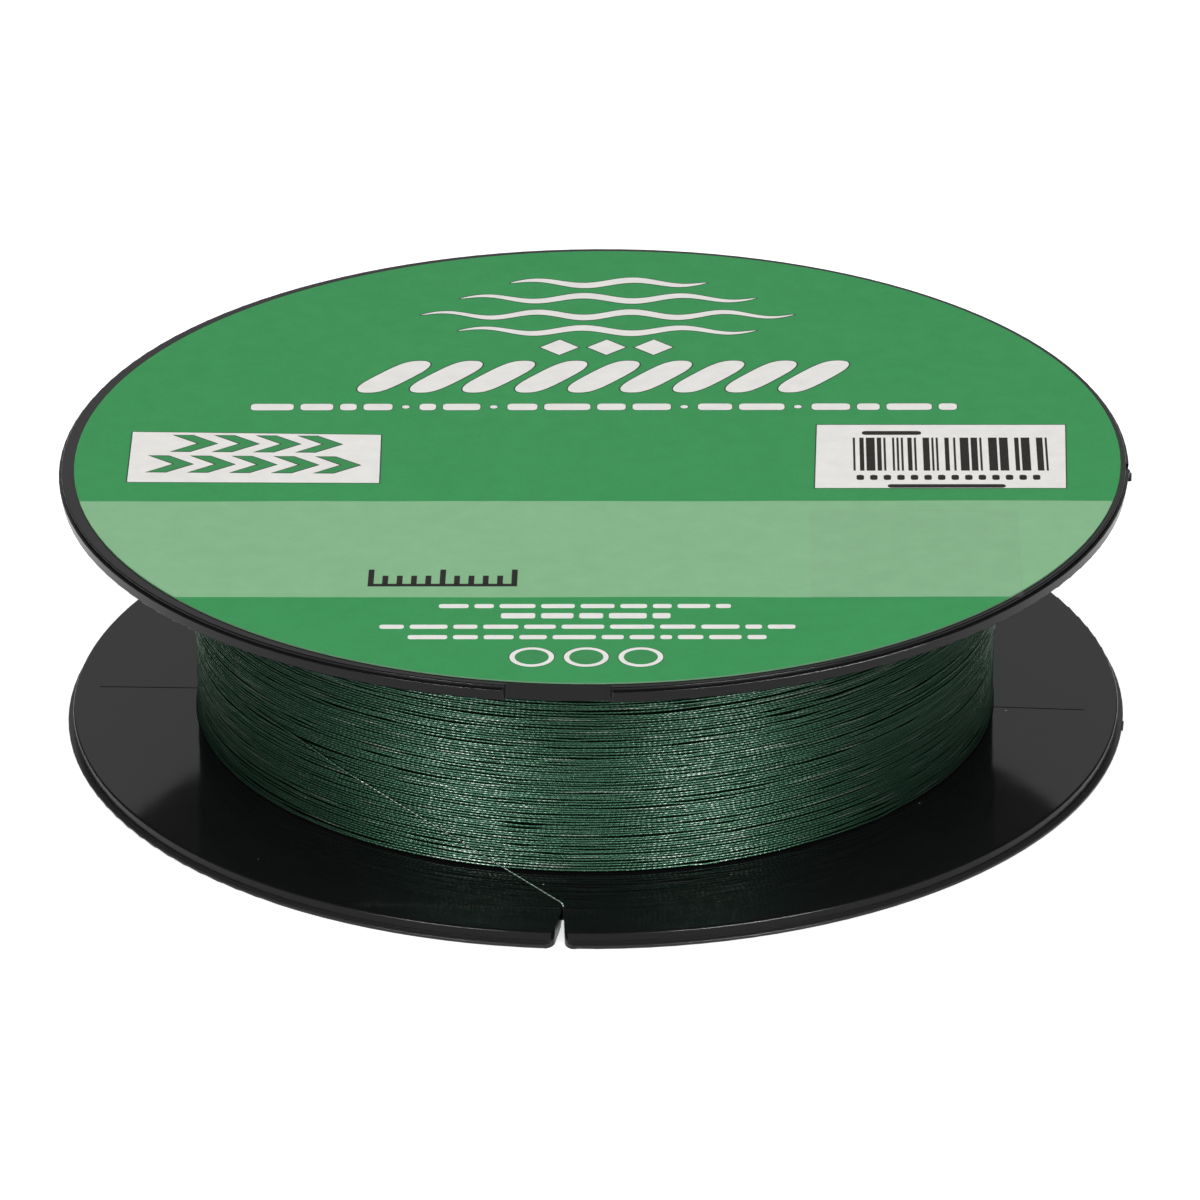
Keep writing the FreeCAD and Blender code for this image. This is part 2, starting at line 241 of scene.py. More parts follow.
def dust(look, place):
    """1 on specks of dust: one in some cells of a loose pattern, on faces that look up."""
    cells = look.add("TexVoronoi", feature="F1")
    look.put(cells.inputs["Vector"], place)
    look.put(cells.inputs["Scale"], 1 / (5.0 * mm))
    look.put(cells.inputs["Randomness"], 1.0)
    pick, size_pick, _ = look.split(cells.outputs["Color"])
    near = look.math("LESS_THAN", cells.outputs["Distance"], look.ramp(size_pick, 0, 1, 0.006, 0.022))
    chosen = look.math("GREATER_THAN", pick, 0.55)
    facing = look.math("GREATER_THAN", upward(look), 0.8)
    return look.math("MULTIPLY", look.math("MULTIPLY", near, chosen), facing)


def upward(look):
    """How far the surface looks up, from -1 to 1."""
    return look.split(look.add("NewGeometry").outputs["Normal"])[2]


def rim_normal(look, x, y, z, radius):
    """Normal of the rims' round edges as a lathe turns them, because the solids' facets are coarser."""
    weight, out, up = 0.0, 0.0, 0.0
    for middle_radius, middle_height, edge_radius in rim_edges:
        beyond = look.math("SUBTRACT", radius, middle_radius - facet_sag)
        over = look.math("SUBTRACT", z, middle_height)
        inside = look.math("GREATER_THAN", look.math("MINIMUM", beyond, over), 0.0)
        reach = look.math("MAXIMUM", beyond, over)
        inside = look.math("MULTIPLY", inside, look.math("LESS_THAN", reach, edge_radius + 2 * facet_sag))
        weight = look.math("ADD", weight, inside)
        out = look.math("ADD", out, look.math("MULTIPLY", inside, beyond))
        up = look.math("ADD", up, look.math("MULTIPLY", inside, over))
    share = look.math("DIVIDE", out, radius)
    up = look.math("ADD", up, look.math("SUBTRACT", 1.0, weight))
    own = look.add("CombineXYZ", look.math("MULTIPLY", x, share), look.math("MULTIPLY", y, share), up)
    lathed = look.add(
        "VectorTransform", own.outputs[0],
        vector_type="NORMAL", convert_from="OBJECT", convert_to="WORLD",
    )
    facet = look.add("NewGeometry").outputs["Normal"]
    return look.mix(weight, facet, lathed.outputs[0], "VECTOR")


def print_frame(look, place):
    """x and y on the face, turned with the print, in metres."""
    cosine = math.cos(print_turn)
    sine = math.sin(print_turn)
    x, y, _ = look.split(place)
    along = look.math("SUBTRACT", look.math("MULTIPLY", x, cosine), look.math("MULTIPLY", y, sine))
    up = look.math("ADD", look.math("MULTIPLY", x, sine), look.math("MULTIPLY", y, cosine))
    return along, up


def paper_fibre(look, place):
    """Faint mottle and grain of printed paper, as one factor around 1."""
    mottle = look.ramp(look.noise(place, 2.5 * mm, 3.0), 0.3, 0.7, 0.965, 1.035)
    grain = look.ramp(look.noise(place, 0.12 * mm, 2.0), 0.3, 0.7, 0.97, 1.03)
    return look.math("MULTIPLY", mottle, grain)


def paper_finish(look, place):
    """Silk finish and fine grain of the label, under its inks too."""
    look.set(Roughness=look.ramp(look.noise(place, 0.3 * mm), 0.3, 0.7, 0.42, 0.52))
    look.set(Normal=look.bump(look.noise(place, 0.2 * mm, 3.0), 0.004 * mm, 0.3))


def scaled(look, colour, factor):
    """A colour times a factor."""
    node = look.add("VectorMath", operation="SCALE")
    look.put(node.inputs[0], colour)
    look.put(node.inputs["Scale"], factor)
    return node.outputs[0]


def label_paper():
    """Green printed paper with a light band across it, and white paper at its cut edge."""
    look = Look("label_paper", Specular_IOR_Level=0.15)
    place = look.places()
    along, up = print_frame(look, place)
    run = look.add("CombineXYZ", along).outputs[0]
    sway_top = look.ramp(look.noise(run, 26 * mm, 1.0), 0.0, 1.0, -0.35 * mm, 0.35 * mm)
    elsewhere = look.add("VectorMath", run, (0, 90 * mm, 0), operation="ADD").outputs[0]
    sway_low = look.ramp(look.noise(elsewhere, 30 * mm, 1.0), 0.0, 1.0, -0.3 * mm, 0.3 * mm)
    soft = 0.04 * mm
    below_top = look.math("SUBTRACT", look.math("ADD", sway_top, band_top), up)
    above_low = look.math("SUBTRACT", up, look.math("ADD", sway_low, band_bottom))
    in_band = look.math("MULTIPLY", look.ramp(below_top, -soft, soft), look.ramp(above_low, -soft, soft))
    tint = look.noise(place, 14 * mm, 1.0)
    ground = look.mix(tint, linear(55, 147, 84), linear(62, 151, 89))
    band = look.mix(tint, linear(134, 184, 139), linear(139, 188, 144))
    printed = scaled(look, look.mix(in_band, ground, band), paper_fibre(look, place))
    side = look.math("LESS_THAN", upward(look), 0.5)
    look.set(Base_Color=look.mix(side, printed, linear(112, 150, 120)))
    paper_finish(look, place)
    return look.material


def ink(name, colour, deeper):
    """Printed ink on the label, with the paper's mottle in it."""
    look = Look(name, Specular_IOR_Level=0.15)
    place = look.places()
    tone = look.mix(look.noise(place, 1.5 * mm), deeper, colour)
    look.set(Base_Color=scaled(look, tone, paper_fibre(look, place)))
    paper_finish(look, place)
    return look.material


def clear_film():
    """Thin clear film, slightly hazy, with a little glue mottle."""
    look = Look("clear_film", Specular_IOR_Level=0.5, IOR=1.45)
    place = look.places()
    haze = look.noise(place, 3.0 * mm, 3.0)
    look.set(Base_Color=look.mix(haze, (0.62, 0.64, 0.62, 1), (0.72, 0.74, 0.72, 1)))
    look.set(Roughness=look.ramp(haze, 0.3, 0.7, 0.16, 0.24))
    look.set(Alpha=look.ramp(haze, 0.3, 0.7, 0.02, 0.04))
    look.set(Normal=look.bump(haze, 0.01 * mm, 0.2))
    return look.material


def crepe_tape():
    """Matt tape with fine ridges across it."""
    look = Look("crepe_tape", Specular_IOR_Level=0.3, Roughness=0.75)
    place = look.places()
    x, y, z = look.split(place)
    turn = look.math("ARCTAN2", y, x)
    across = look.math("MULTIPLY", turn, drum_radius)
    ridges = look.add("TexWave", wave_type="BANDS", bands_direction="X")
    look.put(ridges.inputs["Vector"], look.add("CombineXYZ", across, z).outputs[0])
    look.put(ridges.inputs["Scale"], 1 / (9 * mm))
    look.put(ridges.inputs["Distortion"], 4.0)
    look.set(Base_Color=look.mix(ridges.outputs["Fac"], (0.62, 0.56, 0.4, 1), (0.76, 0.7, 0.54, 1)))
    look.set(Normal=look.bump(ridges.outputs["Fac"], 0.05 * mm, 0.6))
    return look.material


def braided_line():
    """Dark green braid. Strands cross along the line, and each pick catches the light by itself. Painted in:
    shade in the crevices between turns, part of the light on the picks' crowns, and highlights on stretches
    that ride up and on the free end.
    """
    look = Look("braided_line", Metallic=0.8, Specular_IOR_Level=0.2, Coat_Roughness=0.14, Coat_IOR=1.5)
    look.set(Specular_Tint=(0.45, 0.55, 0.47, 1))
    run, side, _ = look.split(look.add("UVMap", uv_map="braid").outputs["UV"])
    # Weight of the painted highlight, kept on the tube's points
    painted_highlight = look.add("Attribute", attribute_name="painted_highlight").outputs["Fac"]
    twist = look.ramp(look.noise(look.add("CombineXYZ", run).outputs[0], 40.0, 1.0), 0, 1, -0.2, 0.2)
    step = look.math("ADD", side, twist)
    ridges = []
    for operation in ("ADD", "SUBTRACT"):
        phase = look.math("MULTIPLY", look.math(operation, run, step), 2 * math.pi)
        ridges.append(look.math("COSINE", phase))
    height = look.ramp(look.math("MAXIMUM", *ridges), -0.8, 1.0)
    own = look.add("TexWhiteNoise", noise_dimensions="1D")
    look.put(own.inputs["W"], look.math("FLOOR", look.math("ADD", run, 0.5)))
    chance = own.outputs["Value"]
    around = look.math("MULTIPLY", side, 2 * math.pi)
    out = look.math("COSINE", around)
    along = look.math("MULTIPLY", run, fibre_run)
    skin = look.add("CombineXYZ", along, out, look.math("SINE", around)).outputs[0]
    fibres = look.noise(skin, 0.7, 2.0)
    # Painted shade: the tube's sides away from the outside get a darker colour and less coat, where
    # neighbouring turns shade them
    facing_out = look.ramp(out, 0.1, 0.75)
    # Painted highlight: a pale crest on the outward side where the weight says so
    painted_highlight_crest = look.math("MULTIPLY", painted_highlight, look.ramp(out, 0.5, 0.95, 0.25, 1.0))
    out_of_painted_shade = look.math("MAXIMUM", facing_out, look.math("MULTIPLY", painted_highlight_crest, 0.6))
    # Crowns of each pick lighter and valleys darker: partly the strands' own fleck, partly painted sheen and
    # shade
    fleck_and_sheen = look.math("MULTIPLY", look.math("POWER", height, 1.5), look.ramp(chance, 0.0, 1.0, 0.5, 1.0))
    fleck_and_sheen = look.math("MULTIPLY", fleck_and_sheen, look.ramp(fibres, 0.3, 0.7, 0.7, 1.0))
    pearl = look.math("MULTIPLY", look.ramp(height, 0.5, 1.0), look.ramp(chance, 0.3, 0.95))
    strand = look.mix(fleck_and_sheen, (0.0125, 0.035, 0.0212, 1), (0.0235, 0.06, 0.0373, 1))
    # Colour with the painted shade in the crevices between turns
    with_painted_shade = look.mix(out_of_painted_shade, (0.0028, 0.009, 0.0052, 1), strand)
    # Colour of the painted highlight
    painted_highlight_colour = look.mix(fleck_and_sheen, (0.05, 0.066, 0.055, 1), (0.14, 0.168, 0.149, 1))
    look.set(Base_Color=look.mix(painted_highlight_crest, with_painted_shade, painted_highlight_colour))
    look.set(Roughness=look.ramp(fibres, 0.3, 0.7, 0.36, 0.46))
    look.set(Coat_Weight=look.ramp(look.math("MULTIPLY", pearl, out_of_painted_shade), 0.0, 1.0, 0.03, 1.0))
    rough_skin = look.bump(fibres, 0.015 * mm, 0.6)
    look.set(Normal=look.bump(height, 0.02 * mm, 0.8, rough_skin))
    look.set(Coat_Normal=look.bump(height, 0.012 * mm, 0.8, look.bump(fibres, 0.008 * mm, 0.6)))
    return look.material


def packed_line_painted_shade():
    """Line deep in the pack, seen only through gaps: painted near black as painted shade, with the turns'
    grooves.
    """
    look = Look("packed_line_painted_shade", Specular_IOR_Level=0.0, Roughness=1.0)
    place = look.places()
    _, _, z = look.split(place)
    groove = look.math("SINE", look.math("MULTIPLY", z, 2 * math.pi / line_diameter))
    speck = look.noise(place, 0.4 * mm, 2.0)
    # Painted shade: the deep line's colour is near black because little light reaches it
    look.set(Base_Color=look.mix(speck, (0.0005, 0.0025, 0.0012, 1), (0.002, 0.008, 0.004, 1)))
    look.set(Normal=look.bump(groove, 0.1 * mm, 0.8))
    return look.material


def add_piece(mesh, material):
    """The object of a mesh, with its finish. It belongs to the one rigid body."""
    mesh.materials.append(material)
    piece = bpy.data.objects.new(mesh.name, mesh)
    bpy.context.scene.collection.objects.link(piece)
    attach(piece, "root")
    return piece


def mesh_piece(name, vertices, faces, material):
    """A piece from its corners and faces."""
    mesh = bpy.data.meshes.new(name)
    mesh.from_pydata(vertices, [], faces)
    mesh.update()
    return add_piece(mesh, material)


def tube_piece(name, path, sides, material, painted_highlight, radii=None):
    """A closed round tube along points. A UV map keeps the braid's run and turn, and an attribute how
    much painted highlight each stretch gets."""
    path = np.asarray(path)
    count = len(path)
    tangent = np.gradient(path, axis=0)
    tangent /= np.linalg.norm(tangent, axis=1)[:, None]
    outward = path * (1, 1, 0)
    outward -= tangent * (outward * tangent).sum(1)[:, None]
    outward /= np.linalg.norm(outward, axis=1)[:, None]
    across = np.cross(tangent, outward)
    turns = np.arange(sides) * 2 * np.pi / sides
    radii = np.full((count, 1), line_radius) if radii is None else radii
    if radii.shape[1] == 1:
        radii = np.repeat(radii, sides, axis=1)
    ring = outward[:, None] * np.cos(turns)[None, :, None] + across[:, None] * np.sin(turns)[None, :, None]
    skin = path[:, None] + ring * radii[:, :, None]
    lengths = np.r_[0, np.cumsum(np.linalg.norm(np.diff(path, axis=0), axis=1))]
    slack = Wander(count, slack_spacing, lengths[-1]).at(lengths) * most_slack
    ends = path[[0, -1]]
    vertices = np.concatenate([skin.reshape(-1, 3), ends]).astype(np.float32)

    rings = np.arange(count - 1)[:, None] * sides
    here = rings + np.arange(sides)
    after = rings + (np.arange(sides) + 1) % sides
    quads = np.stack([here, after, after + sides, here + sides], -1).reshape(-1, 4)
    first = np.stack([np.full(sides, count * sides), (np.arange(sides) + 1) % sides, np.arange(sides)], -1)
    base = (count - 1) * sides
    last = np.stack([np.full(sides, count * sides + 1), base + np.arange(sides),
                     base + (np.arange(sides) + 1) % sides], -1)
    caps = np.concatenate([first, last])

    mesh = bpy.data.meshes.new(name)
    mesh.vertices.add(len(vertices))
    mesh.vertices.foreach_set("co", vertices.ravel())
    corners = np.concatenate([quads.ravel(), caps.ravel()]).astype(np.int32)
    mesh.loops.add(len(corners))
    mesh.loops.foreach_set("vertex_index", corners)
    starts = np.r_[np.arange(len(quads)) * 4, len(quads) * 4 + np.arange(len(caps)) * 3]
    mesh.polygons.add(len(starts))
    mesh.polygons.foreach_set("loop_start", starts.astype(np.int32))
    mesh.update(calc_edges=True)
    mesh.polygons.foreach_set("use_smooth", np.ones(len(starts), bool))

    run = np.broadcast_to(((lengths + slack) / pick_length)[:, None], (count, sides))
    turn = np.arange(sides + 1) / sides
    u = np.stack([run[:-1], run[:-1], run[1:], run[1:]], -1)
    v = np.stack([turn[:-1], turn[1:], turn[1:], turn[:-1]], -1)[None].repeat(count - 1, 0)
    uv = np.zeros((len(corners), 2), np.float32)
    uv[:len(quads) * 4, 0] = u.ravel()
    uv[:len(quads) * 4, 1] = v.ravel()
    uv[len(quads) * 4:, 0] = np.repeat([run[0, 0], run[-1, 0]], sides * 3)
    layer = mesh.uv_layers.new(name="braid")
    layer.data.foreach_set("uv", uv.ravel())
    # Weight of the painted highlight for the braid's colour
    painted_highlight_layer = mesh.attributes.new("painted_highlight", "FLOAT", "POINT")
    painted_highlight_layer.data.foreach_set("value", np.r_[np.repeat(painted_highlight, sides), painted_highlight[[0, -1]]].astype(np.float32))
    mesh.validate()
    return add_piece(mesh, material)


class Sway:
    """Smooth seeded noise over the pack's face: waves round the spool and up it."""

    def __init__(self, seed, count, most_round, short, long):
        draw = np.random.default_rng(seed)
        self.round = draw.integers(-most_round, most_round + 1, count)
        self.up = 2 * np.pi / draw.uniform(short, long, count) * draw.choice([-1, 1], count)
        self.phase = draw.uniform(0, 2 * np.pi, count)
        self.scale = 1 / math.sqrt(count / 2)

    def at(self, angle, height):
        """The noise at arrays of angle and height, with a spread of about 1."""
        total = np.zeros_like(angle)
        for n, k, phase in zip(self.round, self.up, self.phase):
            total += np.cos(n * angle + k * height + phase)
        return total * self.scale


class Wander:
    """Smooth seeded noise along the line's length."""

    def __init__(self, seed, spacing, length):
        draw = np.random.default_rng(seed)
        self.places = np.arange(0, length + 2 * spacing, spacing)
        self.values = draw.normal(0, 1, len(self.places))
        self.spacing = spacing

    def at(self, length):
        """The noise at an array of lengths, with a spread of about 1."""
        n = np.clip((length / self.spacing).astype(int), 0, len(self.places) - 2)
        t = length / self.spacing - n
        t = t * t * (3 - 2 * t)
        return self.values[n] * (1 - t) + self.values[n + 1] * t


def pack_path(angles, heights, radius, seed, settle):
    """Points of wound line whose turns bunch, part and ride up on each other, and how much painted highlight
    each stretch gets. settle is 0 where the turns lie true."""
    lengths = np.r_[0, np.cumsum(np.abs(np.diff(angles)) * radius)]

    # Noise for the whole pack, and for the line that slips, kinks or climbs here and there
    bunch = Sway(seed, 16, 7, 0.6 * mm, 1.7 * mm)
    swell = Sway(seed + 1, 8, 4, 3.0 * mm, 9.0 * mm)
    slip = Wander(seed + 2, 12 * mm, lengths[-1]).at(lengths)
    nudge = Wander(seed + 3, 3.5 * mm, lengths[-1]).at(lengths)
    rise = Wander(seed + 4, 4.5 * mm, lengths[-1]).at(lengths)
    small = Wander(seed + 5, 4 * mm, lengths[-1])
    slip = np.sign(slip) * np.clip(np.abs(slip) - 0.8, 0, 1.0)
    nudge = np.sign(nudge) * np.clip(np.abs(nudge) - 0.9, 0, 1.0)
    rise = np.clip(rise - 1.2, 0, 0.5) / 0.5

    # How far the turns wander up and down the pack, and out of it
    up = bunch.at(angles, heights) * 0.02 * mm + slip * 0.1 * mm + nudge * 0.08 * mm + rise * 0.05 * mm
    out = swell.at(angles, heights) * 0.03 * mm + small.at(lengths) * 0.012 * mm
    out += (np.abs(slip) + np.abs(nudge)) * 0.03 * mm + rise * 0.06 * mm
    lowest = flange_face + line_radius
    highest = ceiling_face - line_radius
    foot = np.exp((lowest - heights) / foot_bulge_reach)
    out = radius + settle * out + foot * foot_bulge
    up = np.clip(heights + settle * up, lowest, highest)
    # Painted highlight: stretches that ride up, and the lowest turns, get a pale crest
    painted_highlight = np.maximum(settle * rise * 0.6, 0.12 * foot)
    return np.stack([out * np.cos(angles), out * np.sin(angles), up], -1), painted_highlight


def exit_angle():
    """Where the line leaves the pack on a straight run to the slit, as an angle."""
    return notch_angle - math.acos(last_radius / slit_centre_radius)


def smooth_heights(angles, knots):
    """Smooth height over angle through knots of (angle, height)."""
    at, height = np.array(knots).T
    slopes = np.gradient(height, at)
    n = np.clip(np.searchsorted(at, angles) - 1, 0, len(at) - 2)
    span = at[n + 1] - at[n]
    t = (angles - at[n]) / span
    before = (2 * t ** 3 - 3 * t ** 2 + 1) * height[n] + (t ** 3 - 2 * t ** 2 + t) * span * slopes[n]
    after = (3 * t ** 2 - 2 * t ** 3) * height[n + 1] + (t ** 3 - t ** 2) * span * slopes[n + 1]
    return before + after


def last_layer_piece(material):
    """Last layer of line: turns side by side down from the upper flange, then across to where it leaves."""
    leave = exit_angle()
    steady = leave - math.radians(45)
    top = ceiling_face - line_radius
    turns = (top - last_layer_bottom) / turn_pitch
    angles = np.arange(steady - 2 * np.pi * turns, leave, 2 * np.pi / steps_per_turn)
    angles = np.r_[angles, leave]
    wound = last_layer_bottom + (steady - angles) / (2 * np.pi) * turn_pitch
    knots = [
        (steady, last_layer_bottom),
        (leave - math.radians(20.8), last_layer_bottom - 0.15 * mm),
        (leave - math.radians(11.3), last_layer_bottom - 0.8 * mm),
        (leave, leave_height),
    ]
    crossing = smooth_heights(np.clip(angles, steady, leave), knots)
    heights = np.where(angles < steady, wound, crossing)
    settle = np.clip((steady - angles) / math.radians(60), 0, 1)
    pulled = np.clip((angles - steady) / math.radians(30), 0, 1)
    path, painted_highlight = pack_path(angles, heights, last_radius, last_layer_seed, settle)
    radii = line_radius + (free_radius - line_radius) * pulled
    # Painted highlight on the stretch that crosses the pack to the exit
    painted_highlight = np.maximum(painted_highlight, 0.2 * pulled)
    piece = tube_piece("wound_line_last", path, wound_sides, material, painted_highlight, radii[:, None])
    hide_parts("last_layer")
    return piece


def layer_below_piece(material):
    """The layer under the last one, in sight below it, from the lower flange up."""
    bottom = flange_face + line_radius
    top = last_layer_bottom + 1.2 * mm
    turns = (top - bottom) / turn_pitch
    start = math.radians(20)
    angles = np.arange(0, 2 * np.pi * turns, 2 * np.pi / steps_per_turn)
    heights = bottom + angles / (2 * np.pi) * turn_pitch
    settle = np.clip(angles / math.radians(60), 0, 1)
    path, painted_highlight = pack_path(start + angles, heights, below_radius, layer_below_seed, settle)
    piece = tube_piece("wound_line_below", path, wound_sides, material, painted_highlight)
    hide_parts("layer_below")
    return piece


def core_piece(material):
    """The line deep in the pack, as the ring that the outer turns lie on."""
    past = 0.01 * mm
    inner = 37.35 * mm
    outer_low = below_radius - line_radius - past
    outer_high = last_radius - line_radius - 0.14 * mm
    step = last_layer_bottom + 0.3 * mm
    floor = flange_face + past
    ceiling = ceiling_face - past
    row_height = 0.7 * mm
    rows_low = int((step - floor) / row_height)
    rows_high = int((ceiling - step) / row_height)
    profile = [(inner, floor)]
    profile += [(outer_low, floor + (step - floor) * n / rows_low) for n in range(rows_low + 1)]
    profile += [(outer_high, step + (ceiling - step) * n / rows_high) for n in range(rows_high + 1)]
    profile += [(inner, ceiling)]
    around = 256
    size = len(profile)
    vertices = []
    faces = []
    for n in range(around):
        turn = 2 * math.pi * n / around
        vertices += [(r * math.cos(turn), r * math.sin(turn), z) for r, z in profile]
        here = n * size
        beyond = (n + 1) % around * size
        for m in range(size):
            above = (m + 1) % size
            faces.append((here + m, beyond + m, beyond + above, here + above))
    piece = mesh_piece("wound_line_core", vertices, faces, material)
    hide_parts("wound_core")


def line_end_piece(material):
    """Free end of the line with its strands in relief, from the pack over the slit's edge and down."""
    leave = exit_angle()
    start = Vector((last_radius * math.cos(leave), last_radius * math.sin(leave), leave_height))
    run = math.sqrt(slit_centre_radius ** 2 - last_radius ** 2)
    slope = (exit_height - leave_height) / run
    heading = Vector((-math.sin(leave), math.cos(leave), slope)).normalized()
    corner = start + heading * run * math.sqrt(1 + slope ** 2)

    # The round bend over the slit's edge, from into to outof
    down = Vector((0, 0, -1))
    bend = heading.angle(down)
    reach = exit_bend_radius * math.tan(bend / 2)
    into = corner - heading * reach
    outof = corner + down * reach
    side = (down - heading * heading.dot(down)).normalized()
    centre = into + side * exit_bend_radius

    spacing = 0.045 * mm
    points = []
    straight = (into - start).length
    for n in range(int(straight / spacing) + 1):
        points.append(start + heading * (n * spacing))
    arc_steps = int(exit_bend_radius * bend / spacing) + 1
    for n in range(arc_steps + 1):
        turn = bend * n / arc_steps
        ahead = heading * (exit_bend_radius * math.sin(turn))
        points.append(centre + ahead - side * (exit_bend_radius * math.cos(turn)))
    fall = outof.z - tail_height
    for n in range(1, int(fall / spacing) + 1):
        points.append(outof + down * (n * spacing))
    path = np.array([tuple(p) for p in points])

    sides = 20
    lengths = np.r_[0, np.cumsum(np.linalg.norm(np.diff(path, axis=0), axis=1))]
    picks = (lengths / pick_length)[:, None]
    turn = (np.arange(sides) / sides)[None]
    ridge = np.maximum(np.cos(2 * np.pi * (picks + turn)), np.cos(2 * np.pi * (picks - turn)))
    radii = free_radius - strand_relief + strand_relief * ridge
    # Painted highlight over the whole free end
    piece = tube_piece("line_end_braid", path, sides, material, np.ones(len(path)), radii)
    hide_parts("line_end")
    return piece


class Print:
    """Flat shapes of one ink, joined into one thin closed mesh on the label. Outlines are in millimetres."""

    def __init__(self, name, material, level):
        self.name = name
        self.material = material
        self.low = label_top - ink_sunk
        self.high = label_top + ink_step * level
        self.vertices = []
        self.faces = []

    def shape(self, outline):
        """Adds a flat shape from its outline."""
        outline = counter_clockwise(outline)
        base = len(self.vertices)
        count = len(outline)
        for height in (self.low, self.high):
            self.vertices += [(x * mm, y * mm, height) for x, y in outline]
        self.faces.append(tuple(base + count + n for n in range(count)))
        self.faces.append(tuple(base + n for n in reversed(range(count))))
        for n in range(count):
            after = (n + 1) % count
            self.faces.append((base + n, base + after, base + count + after, base + count + n))

    def finish(self):
        mesh_piece(self.name, self.vertices, self.faces, self.material)


def counter_clockwise(outline):
    """An outline in counter-clockwise order."""
    area = sum(a[0] * b[1] - b[0] * a[1] for a, b in zip(outline, outline[1:] + outline[:1]))
    return outline[::-1] if area < 0 else outline


def turned(outline, turn=-print_turn):
    """An outline turned about the label's middle, as the whole print is."""
    cosine = math.cos(turn)
    sine = math.sin(turn)
    return [(x * cosine - y * sine, x * sine + y * cosine) for x, y in outline]


def grown(outline, by):
    """An outline moved outwards by a distance, with its corners kept sharp up to a limit."""
    outline = counter_clockwise(outline)
    count = len(outline)
    found = []
    for n in range(count):
        before, here, after = (Vector(outline[(n + k) % count]) for k in (-1, 0, 1))
        one = (here - before).normalized()
        two = (after - here).normalized()
        normal = Vector((one.y + two.y, -one.x - two.x))
        normal = normal.normalized() if normal.length > 1e-6 else Vector((one.y, -one.x))
        stretch = min(1 / max(normal.dot(Vector((one.y, -one.x))), 0.3), 2.5)
        found.append(tuple(here + normal * by * stretch))
    return found


def bar(x, y, width, height, corner=0.0):
    """A bar from its lower left corner, with corners cut round in three steps."""
    right = x + width
    top = y + height
    if corner <= 0:
        return [(x, y), (right, y), (right, top), (x, top)]
    middles = (
        (right - corner, y + corner, -90),
        (right - corner, top - corner, 0),
        (x + corner, top - corner, 90),
        (x + corner, y + corner, 180),
    )
    found = []
    for middle_x, middle_y, start in middles:
        for n in range(4):
            turn = math.radians(start + 30 * n)
            found.append((middle_x + corner * math.cos(turn), middle_y + corner * math.sin(turn)))
    return found


def disc(x, y, radius, count=40):
    """A round shape from its middle."""
    return [(x + radius * math.cos(2 * math.pi * n / count), y + radius * math.sin(2 * math.pi * n / count))
            for n in range(count)]


def wave_ribbon(x, y, length, waves, swing, thickness):
    """A wavy ribbon that thins towards both ends."""
    count = 24 * waves
    upper = []
    lower = []
    for n in range(count + 1):
        share = n / count
        middle = y + swing * math.sin(2 * math.pi * waves * share)
        half = thickness / 2 * math.sin(math.pi * share) ** 0.6 + 0.02
        upper.append((x + length * share, middle + half))
        lower.append((x + length * share, middle - half))
    return lower + upper[::-1]


def rope_strand(x, y, width, height):
    """One strand of a laid rope: a slanted leaf with drawn-in ends."""
    found = []
    for n in range(36):
        turn = 2 * math.pi * n / 36
        across = math.copysign(abs(math.cos(turn)) ** 0.8, math.cos(turn)) * width / 2
        up = math.copysign(abs(math.sin(turn)) ** 0.7, math.sin(turn)) * height / 2
        bow = 0.9 * math.sin(up / height * math.pi)
        found.append((x + across + up * 0.42 + bow, y + up))
    return found


def chevron(x, y, width, height, thickness):
    """An arrow head that points to the right."""
    tip = width - thickness
    middle = y + height / 2
    top = y + height
    lower = [(x, y), (x + thickness, y), (x + width, middle)]
    return lower + [(x + thickness, top), (x, top), (x + tip, middle)]


